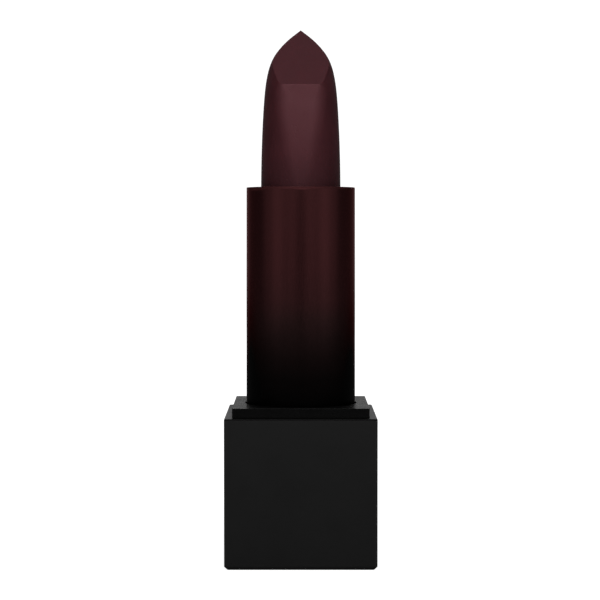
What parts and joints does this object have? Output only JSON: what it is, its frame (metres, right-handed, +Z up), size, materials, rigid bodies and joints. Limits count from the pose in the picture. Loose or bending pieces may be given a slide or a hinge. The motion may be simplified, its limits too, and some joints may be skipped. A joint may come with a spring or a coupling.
{
  "type": "twist-up lipstick",
  "caption": "Twist-up lipstick with a square base, a round sleeve that turns to raise or lower the bullet, and a slanted pointed tip.",
  "frame": {"origin": "centre of the base's underside, on the surface that the lipstick stands on", "axes": "+Z up along the sleeve's axis, -Y towards the front, where the bullet's slanted face looks, +X to the right of someone who looks at the front"},
  "size_m": [0.0226, 0.0226, 0.0808],
  "materials": {
    "base_plastic": "soft-touch matt black with a fine grain",
    "collar_plastic": "satin moulded black",
    "liner_plastic": "plain moulded dark grey",
    "tube_plastic": "smooth moulded black",
    "spiral_plastic": "smooth moulded dark grey",
    "cup_plastic": "smooth moulded black",
    "sleeve_aluminium": "satin anodised burgundy that fades to black towards the base",
    "bullet_wax": "dark plum wax, satin, slightly soft",
    "weight_steel": "plain stamped steel",
    "magnet_nickel": "nickel plate",
    "brake_silicone": "greased silicone",
    "label_paper": "blank matt paper label"
  },
  "bodies": {
    "base": {"base_shell": "base_plastic", "bottom_label": "label_paper", "base_weight": "weight_steel", "base_liner": "liner_plastic", "collar_plate": "collar_plastic", "closure_magnet_1": "magnet_nickel", "closure_magnet_2": "magnet_nickel", "closure_magnet_3": "magnet_nickel", "closure_magnet_4": "magnet_nickel", "slotted_inner_tube": "tube_plastic", "brake_ring": "brake_silicone"},
    "sleeve": {"outer_sleeve": "sleeve_aluminium", "spiral_sleeve": "spiral_plastic"},
    "carrier": {"lipstick_cup": "cup_plastic", "lipstick_bullet": "bullet_wax"}
  },
  "joints": [
    {"name": "twist", "type": "hinge", "parent": "base", "child": "sleeve", "pos_m": [0, 0, 0.03], "axis": [0, 0, 1], "range_deg": [0, 642.86]},
    {"name": "lift", "type": "slide", "parent": "base", "child": "carrier", "axis": [0, 0, 1], "range_m": [-0.025, 0]}
  ],
  "couplings": [
    {"joint": "twist", "follows": "lift", "rad_per_m": -448.8}
  ]
}
